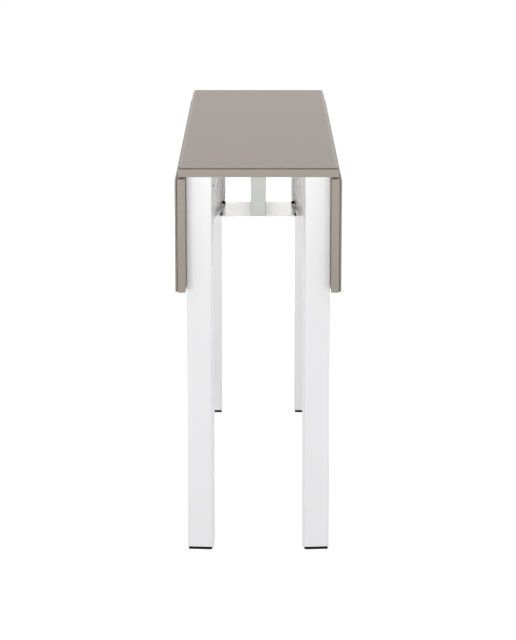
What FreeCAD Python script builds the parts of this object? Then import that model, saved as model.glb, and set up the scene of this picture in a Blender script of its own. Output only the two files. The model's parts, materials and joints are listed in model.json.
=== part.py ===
import FreeCAD, Part
import math
import os

# Extending console table: a narrow glass-faced top with two drop leaves, on four turned legs
# Millimetres, Z up, X across the table and Y along it
# The origin is on the floor under the middle of the top

Vector = FreeCAD.Vector
along_x = Vector(1, 0, 0)
along_y = Vector(0, 1, 0)
along_z = Vector(0, 0, 1)
down = Vector(0, 0, -1)

# Overall sizes
table_height = 750.0
table_length = 1200.0
top_width = 300.0
leaf_drop = 215.0

# Boards, bond and glass
panel_thickness = 15.0
panel_edge_radius = 0.8
panel_lower_radius = 2.0
bond_thickness = 0.5
bond_inset = 2.0
glass_thickness = 4.0
glass_corner_radius = 2.0
glass_edge_radius = 1.2
top_glass_inset = 2.0
leaf_glass_inset = 1.0

# Leaf gaps: below the top when hanging, beside the top when raised, and how far it stands out
hanging_gap = 4.0
raised_gap = 2.5
leaf_overhang = 1.5

# Concealed hinges
hinge_end_setback = 120.0
pin_radius = 2.0
knuckle_radius = 5.0
knuckle_length = 20.0
cheek_length = 8.0
hinge_base_length = 30.0
hinge_base_thickness = 2.0
tongue_thickness = 4.0
tongue_depth = 30.0
tongue_screw_margin = 9.0
hinge_space = 0.5

# Legs, plugs and feet
leg_size = 48.0
leg_wall = 2.0
leg_corner_radius = 2.5
leg_turn = 5.0
vent_radius = 1.5
vent_drop = 26.0
vent_offset = 8.0
leg_leaf_gap = 0.8
leg_end_setback = 32.0
plug_flange = 2.8
plug_depth = 20.0
foot_height = 5.5
foot_inset = 1.5
foot_edge_radius = 1.0
insert_wall = 3.0
insert_space = 0.1

# Beam, its end caps, cleats and cross plates
beam_width = 28.0
beam_height = 89.5
beam_wall = 2.0
beam_end_setback = 103.0
cap_flange = 3.0
cap_depth = 15.0
cleat_size = 20.0
cleat_length = 30.0
cleat_thickness = 2.0
cleat_spacing = 250.0
plate_thickness = 3.0
plate_depth = 162.0
plate_bracket_gap = 1.0

# Leg brackets, folded from sheet
bracket_thickness = 3.0
bracket_length = 164.0
bracket_top_flange = 24.0
bracket_bottom_flange = 34.0
bracket_bottom_start = 40.0
bracket_back_flange = 5.0
bracket_leg_flange = 40.0
leg_bolt_margin = 12.0
spacer_height = 6.0
wedge_length = 80.0
wedge_web_gap = 8.0
slot_start = 54.0
slot_length = 60.0
slot_height = 18.0
slot_width = 8.0
slot_mouth = 19.0
slot_top_margin = 24.5

# Swivel stays
stay_thickness = 3.0
stay_width = 40.0
stay_reach = 190.0
stay_tail = 35.0
stay_side_setback = 50.0
stay_end_setback = 280.0
stay_gap = 0.5
stay_finger_hole = 14.0
shoulder_radius = 3.0
stay_screw_head_radius = 6.5
stay_screw_head_height = 2.5
stay_washer_radius = 9.0
stop_radius = 3.0
stop_spigot_radius = 2.0
stop_spigot_depth = 8.0
stop_space = 0.3
stow_stop_distance = 70.0
out_stop_distance = 25.0

# Fasteners and fits
screw_radius = 2.0
screw_head_radius = 3.8
screw_head_height = 1.8
screw_grip = 10.0
bolt_radius = 3.0
bolt_head_radius = 5.5
bolt_head_height = 3.3
nut_radius = 5.0
nut_height = 4.0
fit = 0.05
slip = 0.1

# Heights and hinge line, worked out from the sizes above
half_width = top_width / 2
half_length = table_length / 2
skin = bond_thickness + glass_thickness
panel_top = table_height - skin
panel_under = panel_top - panel_thickness
hinge_offset = (panel_thickness + hanging_gap - raised_gap + leaf_overhang) / 2
hinge_x = half_width + leaf_overhang - hinge_offset
hinge_z = panel_top - hinge_offset
leaf_top = panel_under - hanging_gap
leaf_bottom = leaf_top - leaf_drop
leaf_outer_x = half_width + leaf_overhang
leaf_inner_x = leaf_outer_x - panel_thickness
hinge_places = (-(half_length - hinge_end_setback), 0.0, half_length - hinge_end_setback)

# Leg position and turn, given for the right back corner; the others are mirrored from it
half_leg = leg_size / 2
turn = math.radians(leg_turn)
leg_reach = (half_leg - leg_corner_radius) * (math.cos(turn) + math.sin(turn)) + leg_corner_radius
leg_x = leaf_inner_x - leg_leaf_gap - leg_reach
leg_y = half_length - leg_end_setback - leg_reach
leg_place = FreeCAD.Placement(Vector(leg_x, leg_y, 0), FreeCAD.Rotation(along_z, 180 - leg_turn))

# Frame levels and places
plate_top = panel_under - beam_height
plate_under = plate_top - plate_thickness
bracket_end = half_leg + bracket_length
bracket_end_point = leg_place.multVec(Vector(half_leg, bracket_end, 0))
plate_half_width = bracket_end_point.x - plate_bracket_gap
plate_outer_y = half_length - beam_end_setback
plate_inner_y = plate_outer_y - plate_depth
stay_x = half_width - stay_side_setback
stay_y = half_length - stay_end_setback
stay_top = panel_under - stay_gap
stay_under = stay_top - stay_thickness

corners = {
    "left_front": (-1, -1),
    "right_front": (1, -1),
    "left_back": (-1, 1),
    "right_back": (1, 1),
}
sides = {"left": -1, "right": 1}
ends = {"front": -1, "back": 1}


# Basic shapes

def block(x_range, y_range, z_range):
    start = Vector(x_range[0], y_range[0], z_range[0])
    size = (x_range[1] - x_range[0], y_range[1] - y_range[0], z_range[1] - z_range[0])
    return Part.makeBox(size[0], size[1], size[2], start)


def rod(start, direction, radius, length):
    return Part.makeCylinder(radius, length, start, direction)


def mirror_to(shape, side, end):
    if side < 0:
        shape = shape.mirror(Vector(), along_x)
    if end < 0:
        shape = shape.mirror(Vector(), along_y)
    return shape


def with_mirrors(shape):
    return [mirror_to(shape, side, end) for side, end in corners.values()]


def edges_along(shape, axis):
    found = []
    for edge in shape.Edges:
        first, last = edge.Vertexes[0].Point, edge.Vertexes[-1].Point
        if (last - first).cross(axis).Length < 1e-6:
            found.append(edge)
    return found


def rounded_post(size, radius, z_range):
    half = size / 2
    post = block((-half, half), (-half, half), z_range)
    return post.makeFillet(radius, edges_along(post, along_z))


def edges_at(shape, axis, level):
    found = []
    for edge in shape.Edges:
        box = edge.BoundBox
        low = Vector(box.XMin, box.YMin, box.ZMin).dot(axis)
        high = Vector(box.XMax, box.YMax, box.ZMax).dot(axis)
        if abs(low - level) < 1e-4 and abs(high - level) < 1e-4:
            found.append(edge)
    return found


def board(x_range, z_range, radii):
    # Radii follow the corners: inner low, outer low, outer high, inner high
    (x0, x1), (z0, z1) = x_range, z_range
    corner_points = [(x0, z0), (x1, z0), (x1, z1), (x0, z1)]
    inward = [(1, 1), (-1, 1), (-1, -1), (1, -1)]
    lines_and_arcs = []
    stops = []
    for (x, z), (dx, dz), radius in zip(corner_points, inward, radii):
        beside_x = Vector(x + dx * radius, -half_length, z)
        beside_z = Vector(x, -half_length, z + dz * radius)
        pull = radius * (1 - math.sqrt(0.5))
        middle = Vector(x + dx * pull, -half_length, z + dz * pull)
        first, last = (beside_z, beside_x) if dx * dz > 0 else (beside_x, beside_z)
        stops.append((first, last))
        lines_and_arcs.append(Part.Arc(first, middle, last).toShape())
    for index, (first, last) in enumerate(stops):
        next_first = stops[(index + 1) % len(stops)][0]
        lines_and_arcs.append(Part.LineSegment(last, next_first).toShape())
    outline = Part.Wire(Part.__sortEdges__(lines_and_arcs))
    return Part.Face(outline).extrude(along_y * table_length)


def screw(seat, direction, radius, length, head_radius, head_height):
    head = rod(seat, direction * -1, head_radius, head_height)
    return head.fuse(rod(seat, direction, radius, length)).removeSplitter()


def hole(seat, direction, radius, length):
    return rod(seat, direction, radius + fit, length + fit)


def wood_screw(seat, direction):
    return screw(seat, direction, screw_radius, screw_grip, screw_head_radius, screw_head_height)


def wood_screw_hole(seat, direction):
    return hole(seat, direction, screw_radius, screw_grip)


def bolt_and_nut(seat, direction, clamped):
    length = clamped + nut_height
    bolt = screw(seat, direction, bolt_radius, length, bolt_head_radius, bolt_head_height)
    nut_seat = seat + direction * clamped
    nut = rod(nut_seat, direction, nut_radius, nut_height)
    return [bolt, nut.cut(hole(nut_seat, direction, bolt_radius, nut_height))]


def at_leg(shape):
    return shape.transformed(leg_place.toMatrix(), True)


# Places of the fasteners in the right back quarter, each a seat and a direction

def bracket_screw_seats():
    level = panel_under - bracket_thickness
    across = half_leg + bracket_top_flange / 2
    margin = bracket_length / 5
    runs = (half_leg + margin, bracket_end - margin)
    return [leg_place.multVec(Vector(across, run, level)) for run in runs]


def leg_bolt_seats():
    plug_end = panel_under - plug_flange - plug_depth
    levels = (plate_under + leg_bolt_margin, plug_end - leg_bolt_margin)
    across = half_leg - bracket_leg_flange / 2
    run = half_leg + bracket_thickness
    return [Vector(across, run, level) for level in levels]


def plate_bolt_seats():
    level = plate_under - bracket_thickness
    across = plate_half_width - bracket_bottom_flange / 2
    runs = (plate_outer_y - plate_depth / 4, bracket_end_point.y + bracket_bottom_flange)
    return [Vector(across, run, level) for run in runs]


def beam_bolt_seats():
    return [Vector(0, plate_outer_y - plate_depth * share, plate_under) for share in (0.25, 0.75)]


def cleat_places():
    return [(side, run) for side in sides.values() for run in (-cleat_spacing, 0.0, cleat_spacing)]


def cleat_screw_seats(side, run):
    across = side * (beam_width / 2 + cleat_size / 2)
    into_panel = (Vector(across, run, panel_under - cleat_thickness), along_z)
    beside = side * (beam_width / 2 + cleat_thickness)
    into_beam = (Vector(beside, run, panel_under - cleat_size / 2), along_x * -side)
    return [into_panel, into_beam]


def hinge_screw_seats():
    across = hinge_wall_x - hinge_base_length / 2
    return [Vector(across, sign * hinge_length / 4, panel_under) for sign in (-1, 1)]


def tongue_screw_seats():
    depths = (tongue_screw_margin, tongue_depth - tongue_screw_margin)
    return [Vector(leaf_inner_x + screw_head_height, 0, leaf_top - depth) for depth in depths]


# Hinge outline, at the middle of the right side
hinge_length = knuckle_length + 2 * (cheek_length + hinge_space)
hinge_wall_x = hinge_x - knuckle_radius - hinge_space
hinge_ceiling = hinge_z + knuckle_radius + hinge_space
hinge_half = hinge_length / 2


def hinge_pocket():
    notch = block((hinge_wall_x, half_width), (-hinge_half, hinge_half), (panel_under, hinge_ceiling))
    base_end = hinge_wall_x - hinge_base_length
    base_top = panel_under + hinge_base_thickness
    recess = block((base_end, hinge_wall_x), (-hinge_half, hinge_half), (panel_under, base_top))
    pocket = notch.fuse(recess)
    for seat in hinge_screw_seats():
        pocket = pocket.fuse(wood_screw_hole(seat, along_z))
    return pocket


def hinge_body():
    base_end = hinge_wall_x - hinge_base_length
    base_top = panel_under + hinge_base_thickness
    body = block((base_end, hinge_wall_x), (-hinge_half, hinge_half), (panel_under, base_top))
    cheek_x = (hinge_wall_x, hinge_x + knuckle_radius)
    cheek_z = (panel_under, hinge_z + knuckle_radius)
    for y_range in ((-hinge_half, cheek_length - hinge_half), (hinge_half - cheek_length, hinge_half)):
        body = body.fuse(block(cheek_x, y_range, cheek_z))
    body = body.removeSplitter()
    body = body.cut(hole(Vector(hinge_x, -hinge_half, hinge_z), along_y, pin_radius, hinge_length))
    for seat in hinge_screw_seats():
        body = body.cut(wood_screw_hole(seat, along_z))
    return body


def hinge_pins():
    pin = rod(Vector(hinge_x, -hinge_half, hinge_z), along_y, pin_radius, hinge_length)
    return [at_hinge(pin, side, place) for side in sides.values() for place in hinge_places]


def hinge_arm():
    half = knuckle_length / 2
    knuckle = rod(Vector(hinge_x, -half, hinge_z), along_y, knuckle_radius, knuckle_length)
    tongue_x = (hinge_x - tongue_thickness / 2, hinge_x + tongue_thickness / 2)
    arm = knuckle.fuse(block(tongue_x, (-half, half), (leaf_top - tongue_depth, hinge_z)))
    arm = arm.removeSplitter()
    arm = arm.cut(hole(Vector(hinge_x, -half, hinge_z), along_y, pin_radius, knuckle_length))
    for seat in tongue_screw_seats():
        arm = arm.cut(wood_screw_hole(seat, along_x))
    return arm


def at_hinge(shape, side, place):
    return mirror_to(shape.translated(along_y * place), side, 1)


# Glass-faced top

def top_panel():
    radii = (panel_lower_radius, panel_lower_radius, panel_edge_radius, panel_edge_radius)
    panel = board((-half_width, half_width), (panel_under, panel_top), radii)
    cutters = [at_hinge(hinge_pocket(), side, place) for side in sides.values() for place in hinge_places]
    for seat in bracket_screw_seats():
        cutters += with_mirrors(wood_screw_hole(seat, along_z))
    for side, run in cleat_places():
        seat, direction = cleat_screw_seats(side, run)[0]
        cutters.append(wood_screw_hole(seat, direction))
    cutters += with_mirrors(hole(Vector(stay_x, stay_y, panel_under), along_z, screw_radius, screw_grip))
    for place in stop_places():
        cutters += with_mirrors(hole(place, along_z, stop_spigot_radius, stop_spigot_depth))
    return panel.cut(cutters)


def glass_sheet(sheet, face_axis, face_level):
    sheet = sheet.makeFillet(glass_corner_radius, edges_along(sheet, face_axis))
    return sheet.makeFillet(glass_edge_radius, edges_at(sheet, face_axis, face_level))


def top_glass():
    across = half_width - top_glass_inset
    run = half_length - top_glass_inset
    sheet = block((-across, across), (-run, run), (panel_top + bond_thickness, table_height))
    return glass_sheet(sheet, along_z, table_height)


def top_bond_layer():
    across = half_width - top_glass_inset - bond_inset
    run = half_length - top_glass_inset - bond_inset
    return block((-across, across), (-run, run), (panel_top, panel_top + bond_thickness))


# Drop leaves, hanging at the right side

def leaf_panel():
    radii = (panel_edge_radius,) * 4
    panel = board((leaf_inner_x, leaf_outer_x), (leaf_bottom, leaf_top), radii)
    half = knuckle_length / 2
    mortise_x = (hinge_x - tongue_thickness / 2, hinge_x + tongue_thickness / 2)
    mortise = block(mortise_x, (-half, half), (leaf_top - tongue_depth, leaf_top))
    cutters = [mortise]
    for seat in tongue_screw_seats():
        cutters.append(wood_screw_hole(seat, along_x))
        cutters.append(rod(seat, along_x * -1, screw_head_radius + fit, screw_head_height))
    return panel.cut([cutter.translated(along_y * place) for cutter in cutters for place in hinge_places])


def leaf_glass():
    outer = leaf_outer_x + skin
    run = half_length - leaf_glass_inset
    heights = (leaf_bottom + leaf_glass_inset, leaf_top - leaf_glass_inset)
    sheet = block((leaf_outer_x + bond_thickness, outer), (-run, run), heights)
    return glass_sheet(sheet, along_x, outer)


def leaf_bond_layer():
    inset = leaf_glass_inset + bond_inset
    run = half_length - inset
    heights = (leaf_bottom + inset, leaf_top - inset)
    return block((leaf_outer_x, leaf_outer_x + bond_thickness), (-run, run), heights)


def hinge_arm_screws():
    return [wood_screw(seat, along_x).translated(along_y * place)
            for seat in tongue_screw_seats() for place in hinge_places]


# Legs with their plugs and feet, about the leg's own middle

def leg(vented):
    heights = (foot_height, panel_under - plug_flange)
    tube = rounded_post(leg_size, leg_corner_radius, heights)
    inner = half_leg - leg_wall
    tube = tube.cut(block((-inner, inner), (-inner, inner), heights))
    for seat in leg_bolt_seats():
        tube = tube.cut(hole(seat, along_y * -1, bolt_radius, bracket_thickness + leg_wall))
    if vented:
        vent = Vector(half_leg, vent_offset, panel_under - vent_drop)
        tube = tube.cut(rod(vent, along_x * -1, vent_radius, leg_wall))
    return tube


def tube_insert(z_range):
    outer = half_leg - leg_wall - insert_space
    inner = outer - insert_wall
    insert = block((-outer, outer), (-outer, outer), z_range)
    return insert.cut(block((-inner, inner), (-inner, inner), z_range))


def leg_plug():
    shoulder = panel_under - plug_flange
    flange = rounded_post(leg_size, leg_corner_radius, (shoulder, panel_under))
    return flange.fuse(tube_insert((shoulder - plug_depth, shoulder))).removeSplitter()


def foot():
    pad = rounded_post(leg_size - 2 * foot_inset, leg_corner_radius, (0, foot_height))
    pad = pad.makeFillet(foot_edge_radius, edges_at(pad, along_z, 0))
    return pad.fuse(tube_insert((foot_height, foot_height + plug_depth))).removeSplitter()


# Leg bracket: a web beside the leg's inner face, folded over at its four sides

def leg_bracket():
    low = plate_under - bracket_thickness
    web_x = (half_leg - bracket_thickness, half_leg)
    run = (half_leg, bracket_end)
    web = block(web_x, run, (low, panel_under))
    leg_flange_x = (half_leg - bracket_leg_flange, half_leg)
    leg_flange = block(leg_flange_x, (half_leg, half_leg + bracket_thickness), (low, panel_under))
    bottom_run = (half_leg + bracket_bottom_start, bracket_end)
    bottom_flange = block((web_x[0], half_leg + bracket_bottom_flange), bottom_run, (low, plate_under))
    top_flange_z = (panel_under - bracket_thickness, panel_under)
    top_flange = block((web_x[0], half_leg + bracket_top_flange), run, top_flange_z)
    back_flange_y = (bracket_end - bracket_thickness, bracket_end)
    back_flange_z = (plate_top + spacer_height, panel_under)
    back_flange = block((web_x[0], half_leg + bracket_back_flange), back_flange_y, back_flange_z)
    bracket = web.fuse([leg_flange, bottom_flange, top_flange, back_flange]).removeSplitter()
    slot_top = panel_under - slot_top_margin
    slot_y = half_leg + slot_start
    long_cut = block(web_x, (slot_y, slot_y + slot_length), (slot_top - slot_width, slot_top))
    short_cut = block(web_x, (slot_y, slot_y + slot_mouth), (slot_top - slot_height, slot_top))
    bracket = bracket.cut(long_cut.fuse(short_cut))
    for seat in leg_bolt_seats():
        bracket = bracket.cut(hole(seat, along_y * -1, bolt_radius, bracket_thickness))
    bracket = at_leg(bracket)
    for seat in bracket_screw_seats():
        bracket = bracket.cut(wood_screw_hole(seat, along_z))
    for seat in plate_bolt_seats():
        bracket = bracket.cut(hole(seat, along_z, bolt_radius, bracket_thickness))
    return bracket


# Beam with its caps and cleats, and the plates that carry it

def beam_section(inset, y_range):
    across = beam_width / 2 - inset
    return block((-across, across), y_range, (plate_top + inset, panel_under - inset))


def centre_beam():
    run = (-(plate_outer_y - cap_flange), plate_outer_y - cap_flange)
    beam = beam_section(0, run).cut(beam_section(beam_wall, run))
    cutters = []
    for seat in beam_bolt_seats():
        clamped = plate_thickness + beam_wall
        cutters += [hole(mirror_point(seat, end), along_z, bolt_radius, clamped) for end in ends.values()]
    for side, place in cleat_places():
        seat, direction = cleat_screw_seats(side, place)[1]
        cutters.append(hole(seat, direction, screw_radius, cleat_thickness + beam_wall))
    return beam.cut(cutters)


def mirror_point(point, end):
    return Vector(point.x, point.y * end, point.z)


def beam_cap():
    shoulder = plate_outer_y - cap_flange
    flange = beam_section(0, (shoulder, plate_outer_y))
    insert_y = (shoulder - cap_depth, shoulder)
    insert = beam_section(beam_wall + insert_space, insert_y)
    insert = insert.cut(beam_section(beam_wall + insert_space + insert_wall, insert_y))
    return flange.fuse(insert).removeSplitter()


def beam_cleat(side, place):
    y_range = (place - cleat_length / 2, place + cleat_length / 2)
    inner = beam_width / 2
    upright_x = (inner, inner + cleat_thickness)
    upright = block(upright_x, y_range, (panel_under - cleat_size, panel_under))
    flat = block((inner, inner + cleat_size), y_range, (panel_under - cleat_thickness, panel_under))
    cleat = mirror_to(upright.fuse(flat).removeSplitter(), side, 1)
    for seat, direction in cleat_screw_seats(side, place):
        cleat = cleat.cut(hole(seat, direction, screw_radius, cleat_thickness))
    return cleat


def cleat_screws():
    seats = [seat for side, place in cleat_places() for seat in cleat_screw_seats(side, place)]
    return [wood_screw(seat, direction) for seat, direction in seats]


def cross_plate():
    across = plate_half_width
    plate = block((-across, across), (plate_inner_y, plate_outer_y), (plate_under, plate_top))
    for seat in beam_bolt_seats():
        plate = plate.cut(hole(seat, along_z, bolt_radius, plate_thickness))
    for seat in plate_bolt_seats():
        bolt_hole = hole(seat, along_z, bolt_radius, bracket_thickness + plate_thickness)
        plate = plate.cut([mirror_to(bolt_hole, side, 1) for side in sides.values()])
    return plate


def bracket_spacers():
    block_x = (half_leg, half_leg + bracket_back_flange)
    block_y = (bracket_end - spacer_height, bracket_end)
    under_flange = at_leg(block(block_x, block_y, (plate_top, plate_top + spacer_height)))
    wedge_x = (plate_half_width, plate_half_width + wedge_length)
    wedge = block(wedge_x, (plate_outer_y - wedge_length, plate_outer_y), (plate_under, plate_top))
    height = (0, table_height)
    web_side = block((-wedge_length, half_leg + wedge_web_gap), (-wedge_length, bracket_end), height)
    leg_side_y = (-wedge_length, half_leg + bracket_bottom_start)
    leg_side = block((-wedge_length, half_leg + wedge_length), leg_side_y, height)
    wedge = wedge.cut(at_leg(web_side.fuse(leg_side)))
    return with_mirrors(under_flange) + with_mirrors(wedge)


def plate_bolts():
    length = bracket_thickness + plate_thickness
    bolts = []
    for seat in plate_bolt_seats():
        bolt = screw(seat, along_z, bolt_radius, length, bolt_head_radius, bolt_head_height)
        bolts += with_mirrors(bolt)
    return bolts


def beam_bolts():
    pieces = []
    for seat in beam_bolt_seats():
        for end in ends.values():
            pieces += bolt_and_nut(mirror_point(seat, end), along_z, plate_thickness + beam_wall)
    return pieces


def leg_bolts():
    pieces = []
    for seat in leg_bolt_seats():
        for piece in bolt_and_nut(seat, along_y * -1, bracket_thickness + leg_wall):
            pieces += with_mirrors(at_leg(piece))
    return pieces


def bracket_screws():
    return [copy for seat in bracket_screw_seats() for copy in with_mirrors(wood_screw(seat, along_z))]


def hinge_body_screws():
    return [at_hinge(wood_screw(seat, along_z), side, place)
            for seat in hinge_screw_seats() for side in sides.values() for place in hinge_places]


# Swivel stays, stowed along the right back side and pointing to the middle

def stop_places():
    beside = stay_width / 2 + stop_radius + stop_space
    stowed = Vector(stay_x - beside, stay_y - stow_stop_distance, panel_under)
    swung_out = Vector(stay_x + out_stop_distance, stay_y + beside, panel_under)
    return [stowed, swung_out]


def swivel_stay():
    radius = stay_width / 2
    tail_y = stay_y + stay_tail - radius
    tip_y = stay_y - stay_reach + radius
    height = (stay_under, stay_top)
    blade = block((stay_x - radius, stay_x + radius), (tip_y, tail_y), height)
    for run in (tail_y, tip_y):
        blade = blade.fuse(rod(Vector(stay_x, run, stay_under), along_z, radius, stay_thickness))
    blade = blade.removeSplitter()
    pivot = Vector(stay_x, stay_y, stay_under)
    blade = blade.cut(hole(pivot, along_z, shoulder_radius, stay_thickness))
    return blade.cut(rod(Vector(stay_x, tip_y, stay_under), along_z, stay_finger_hole / 2, stay_thickness))


def stay_screw():
    head_top = stay_under - slip
    seat = Vector(stay_x, stay_y, head_top)
    shoulder_length = panel_under - head_top
    body = screw(seat, along_z, shoulder_radius, shoulder_length,
                 stay_screw_head_radius, stay_screw_head_height)
    thread = rod(Vector(stay_x, stay_y, panel_under), along_z, screw_radius, screw_grip)
    return body.fuse(thread).removeSplitter()


def stay_washer():
    height = stay_gap - slip
    seat = Vector(stay_x, stay_y, panel_under - height)
    washer = rod(seat, along_z, stay_washer_radius, height)
    return washer.cut(hole(seat, along_z, shoulder_radius, height))


def stay_stops():
    stops = []
    for place in stop_places():
        pin = rod(place, down, stop_radius, stay_gap + stay_thickness)
        spigot = rod(place, along_z, stop_spigot_radius, stop_spigot_depth)
        stops += with_mirrors(pin.fuse(spigot).removeSplitter())
    return stops


# One file per piece

def save(name, shapes):
    shapes = shapes if isinstance(shapes, list) else [shapes]
    solids = [solid for shape in shapes for solid in shape.Solids]
    whole = solids[0] if len(solids) == 1 else Part.makeCompound(solids)
    whole.exportStep(os.path.join("parts", name + ".step"))


def save_frame():
    save("top_glass", top_glass())
    save("top_bond_layer", top_bond_layer())
    save("top_panel", top_panel())
    save("centre_beam", centre_beam())
    save("beam_cleats", [beam_cleat(side, place) for side, place in cleat_places()])
    save("cleat_screws", cleat_screws())
    save("beam_bolts", beam_bolts())
    save("bracket_spacers", bracket_spacers())
    save("plate_bolts", plate_bolts())
    save("leg_bolts", leg_bolts())
    save("bracket_screws", bracket_screws())
    for end_name, end in ends.items():
        save(end_name + "_beam_cap", mirror_to(beam_cap(), 1, end))
        save(end_name + "_cross_plate", mirror_to(cross_plate(), 1, end))
    for corner_name, (side, end) in corners.items():
        vented = side == end
        save(corner_name + "_leg", mirror_to(at_leg(leg(vented)), side, end))
        save(corner_name + "_leg_plug", mirror_to(at_leg(leg_plug()), side, end))
        save(corner_name + "_foot", mirror_to(at_leg(foot()), side, end))
        save(corner_name + "_leg_bracket", mirror_to(leg_bracket(), side, end))


def save_leaves():
    save("hinge_body_screws", hinge_body_screws())
    save("hinge_pins", hinge_pins())
    for side_name, side in sides.items():
        save(side_name + "_leaf_panel", mirror_to(leaf_panel(), side, 1))
        save(side_name + "_leaf_bond_layer", mirror_to(leaf_bond_layer(), side, 1))
        save(side_name + "_leaf_glass", mirror_to(leaf_glass(), side, 1))
        save(side_name + "_hinge_arm_screws", [mirror_to(one, side, 1) for one in hinge_arm_screws()])
        for place_name, place in zip(("front", "middle", "back"), hinge_places):
            save(side_name + "_" + place_name + "_hinge_body", at_hinge(hinge_body(), side, place))
            save(side_name + "_" + place_name + "_hinge_arm", at_hinge(hinge_arm(), side, place))


def save_stays():
    save("stay_screws", with_mirrors(stay_screw()))
    save("stay_washers", with_mirrors(stay_washer()))
    save("stay_stops", stay_stops())
    for corner_name, (side, end) in corners.items():
        save(corner_name + "_stay", mirror_to(swivel_stay(), side, end))


os.makedirs("parts", exist_ok=True)
save_frame()
save_leaves()
save_stays()
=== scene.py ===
"""Extending console table: a satin glass top with two drop leaves on a white steel frame.

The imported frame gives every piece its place. This script dresses the small pieces that already look
right, and models the boards, the glass, the legs, the folded sheet metal, the hinges and the fasteners
over the rest. Metres, Z up.
"""

import json
import logging
import math
from collections.abc import Callable, Iterable, Sequence
from dataclasses import dataclass, replace
from enum import Enum
from typing import Any, Union

import bmesh
import bpy
from bmesh.types import BMEdge, BMFace, BMVert
from mathutils import Matrix, Vector


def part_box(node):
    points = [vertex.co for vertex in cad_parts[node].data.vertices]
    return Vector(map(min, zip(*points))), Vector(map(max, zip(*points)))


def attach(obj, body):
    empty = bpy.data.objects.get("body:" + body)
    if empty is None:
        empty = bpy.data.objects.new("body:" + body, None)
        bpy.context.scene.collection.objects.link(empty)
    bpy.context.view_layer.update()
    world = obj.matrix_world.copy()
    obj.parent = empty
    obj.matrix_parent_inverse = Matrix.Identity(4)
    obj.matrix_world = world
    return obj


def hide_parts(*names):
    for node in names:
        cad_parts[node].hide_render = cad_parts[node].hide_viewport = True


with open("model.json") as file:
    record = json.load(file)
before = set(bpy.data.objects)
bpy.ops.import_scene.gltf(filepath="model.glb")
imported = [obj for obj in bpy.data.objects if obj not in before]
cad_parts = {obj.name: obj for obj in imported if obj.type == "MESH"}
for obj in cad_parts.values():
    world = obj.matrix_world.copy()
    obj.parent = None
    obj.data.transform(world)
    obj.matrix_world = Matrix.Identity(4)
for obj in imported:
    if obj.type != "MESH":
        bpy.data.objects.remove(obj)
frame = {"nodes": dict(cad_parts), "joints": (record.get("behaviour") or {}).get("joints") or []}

LOG = logging.getLogger("console_table")
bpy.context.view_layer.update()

Colour = tuple[float, float, float]
Input = Union["Signal", float, Sequence[float]]

FRAME_BODY = "frame"
X, Y, Z = 0, 1, 2
AXES = (Vector((1.0, 0.0, 0.0)), Vector((0.0, 1.0, 0.0)), Vector((0.0, 0.0, 1.0)))
UP = AXES[Z]
TOUCH = 1e-5
FLAT_ANGLE = math.radians(0.5)
SHARP_ANGLE = math.radians(40.0)

# Flats across a rounding
EDGE_FLATS = 2
RIM_FLATS = 3
FOLD_FLATS = 4
CAP_FLATS = 5
CORNER_FLATS = 6

# Flats all the way round
HEX_FLATS = 6
PLUG_FLATS = 20
ROD_FLATS = 24

# Sockets of a Mix node that blends colours
MIX_FACTOR, MIX_FIRST, MIX_SECOND = 0, 6, 7
MIX_RESULT = 2


class Place(Enum):
    """A part of the table, by a word that stands in the names of its pieces."""

    @property
    def word(self) -> str:
        """The word as the pieces are called."""
        return self.name.lower()


class Side(Place):
    """The two long sides of the table, seen from its front end."""

    LEFT = -1
    RIGHT = 1


class End(Place):
    """The two short ends of the table."""

    FRONT = -1
    BACK = 1


class Facing(Enum):
    """The way a glass sheet looks when the table is at rest: an axis, and the way along it."""

    UP = (Z, 1)
    LEFT = (X, -1)
    RIGHT = (X, 1)


class Drive(Enum):
    """What turns a fastener."""

    CROSS = "cross"
    HEX = "hex"


class Point(Enum):
    """How a fastener's shank ends."""

    SHARP = "sharp"
    BLUNT = "blunt"


def srgb(red: float, green: float, blue: float) -> Colour:
    """Turns a colour of 0 to 255 as a screen shows it into the linear one that shaders use.

    Args:
        red: Red of the colour on the screen.
        green: Green of the colour on the screen.
        blue: Blue of the colour on the screen.

    Returns:
        The linear colour.
    """
    shares = (channel / 255.0 for channel in (red, green, blue))
    return tuple(c / 12.92 if c <= 0.04045 else ((c + 0.055) / 1.055) ** 2.4 for c in shares)


class Signal:
    """A node's output socket, on which Python arithmetic adds Math nodes."""

    def __init__(self, graph: "ShaderGraph", socket: bpy.types.NodeSocket) -> None:
        """Wraps one output socket of a graph."""
        self.graph = graph
        self.socket = socket

    def _math(self, operation: str, first: Input, second: Input) -> "Signal":
        """Adds one Math node."""
        return self.graph.node("ShaderNodeMath", {"operation": operation}, {0: first, 1: second})

    def __add__(self, other: Input) -> "Signal":
        """Adds a value or a signal."""
        return self._math("ADD", self, other)

    def __radd__(self, other: Input) -> "Signal":
        """Is added to a value."""
        return self._math("ADD", other, self)

    def __sub__(self, other: Input) -> "Signal":
        """Takes a value or a signal away."""
        return self._math("SUBTRACT", self, other)

    def __rsub__(self, other: Input) -> "Signal":
        """Is taken away from a value."""
        return self._math("SUBTRACT", other, self)

    def __mul__(self, other: Input) -> "Signal":
        """Multiplies by a value or a signal."""
        return self._math("MULTIPLY", self, other)

    def __rmul__(self, other: Input) -> "Signal":
        """Multiplies a value."""
        return self._math("MULTIPLY", other, self)

    def __or__(self, other: Input) -> "Signal":
        """Takes the larger of two masks."""
        return self._math("MAXIMUM", self, other)

    def __gt__(self, other: Input) -> "Signal":
        """Gives 1 where the signal is above a value."""
        return self._math("GREATER_THAN", self, other)


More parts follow.
